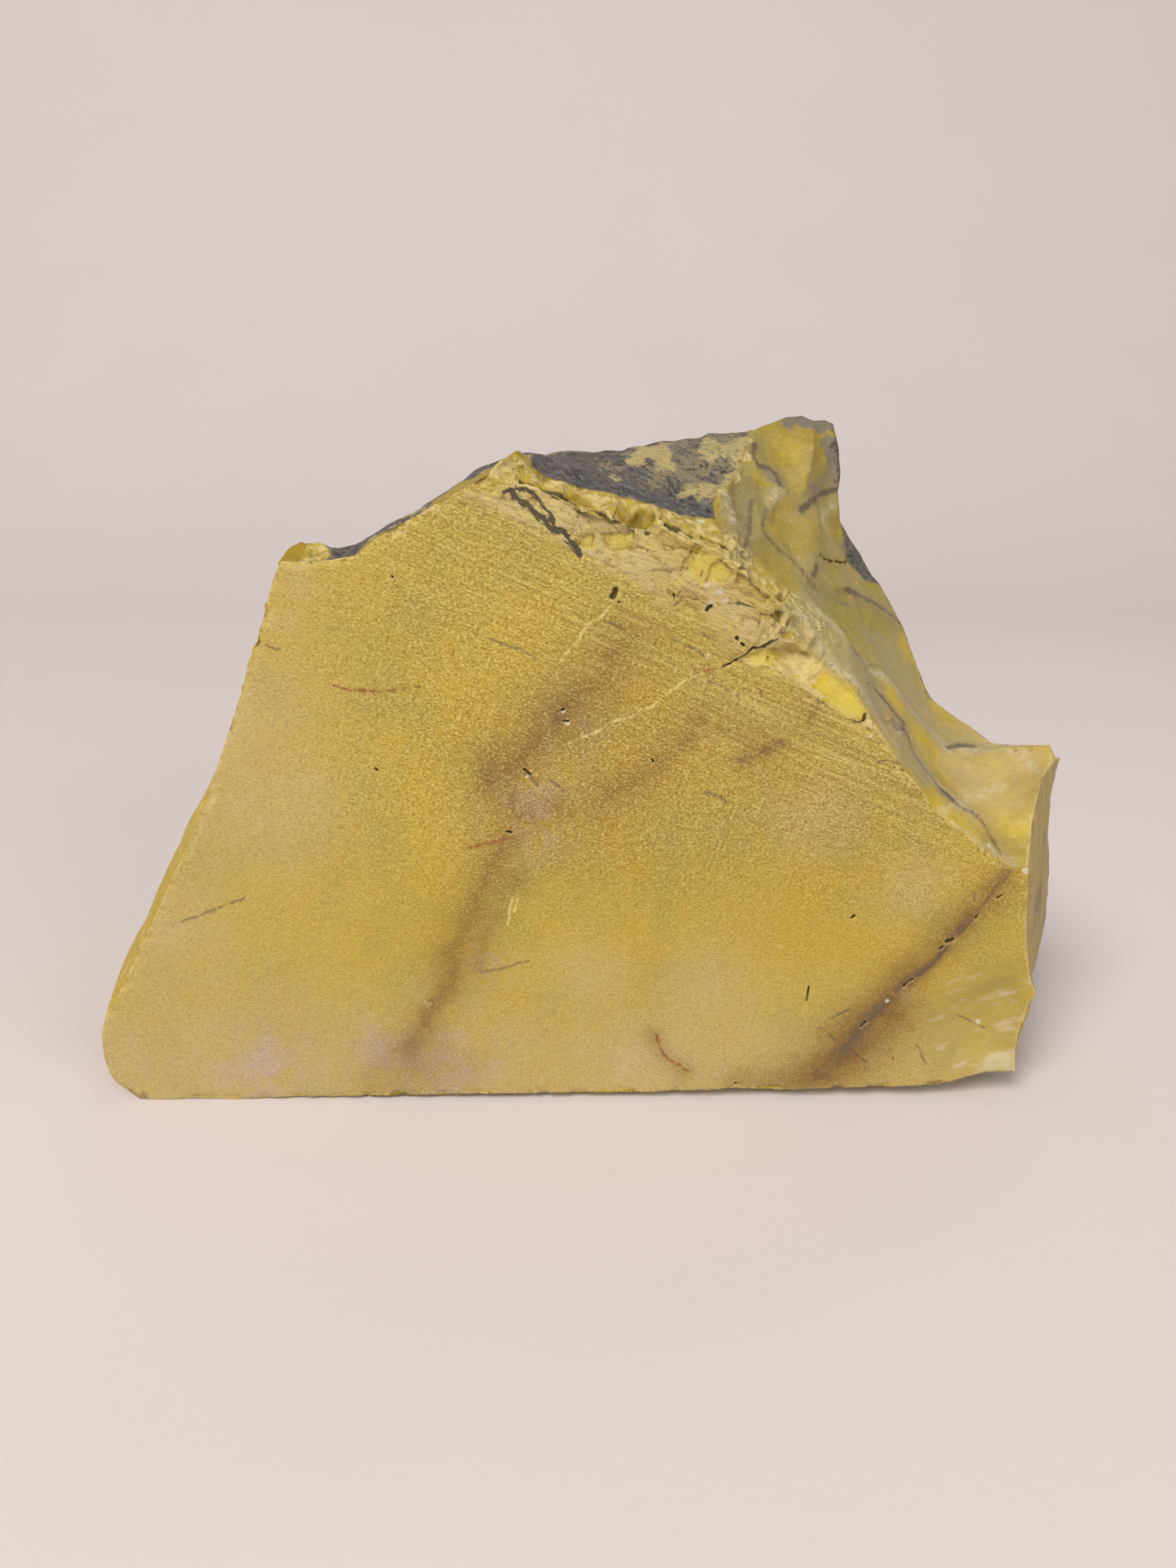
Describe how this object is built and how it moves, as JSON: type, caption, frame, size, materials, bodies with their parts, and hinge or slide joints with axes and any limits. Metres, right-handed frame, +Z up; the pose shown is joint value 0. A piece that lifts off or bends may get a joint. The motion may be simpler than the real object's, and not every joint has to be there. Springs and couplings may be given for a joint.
{
  "type": "rough mookaite stone",
  "caption": "Chunk of yellow mookaite with a large sawn face, a broken shoulder with shell-like flake scars, and dark natural rind on the top and back, resting on a flat sawn base.",
  "frame": {"origin": "middle of the flat base, below the centre of the bounding box", "axes": "+Z up from the base, +X along the long side to the low shoulder, -Y out of the large sawn face"},
  "size_m": [0.113, 0.0472, 0.0741],
  "materials": {
    "mookaite": "satin, sawn and broken"
  },
  "bodies": {
    "root": {"mookaite_stone": "mookaite"}
  },
  "joints": []
}
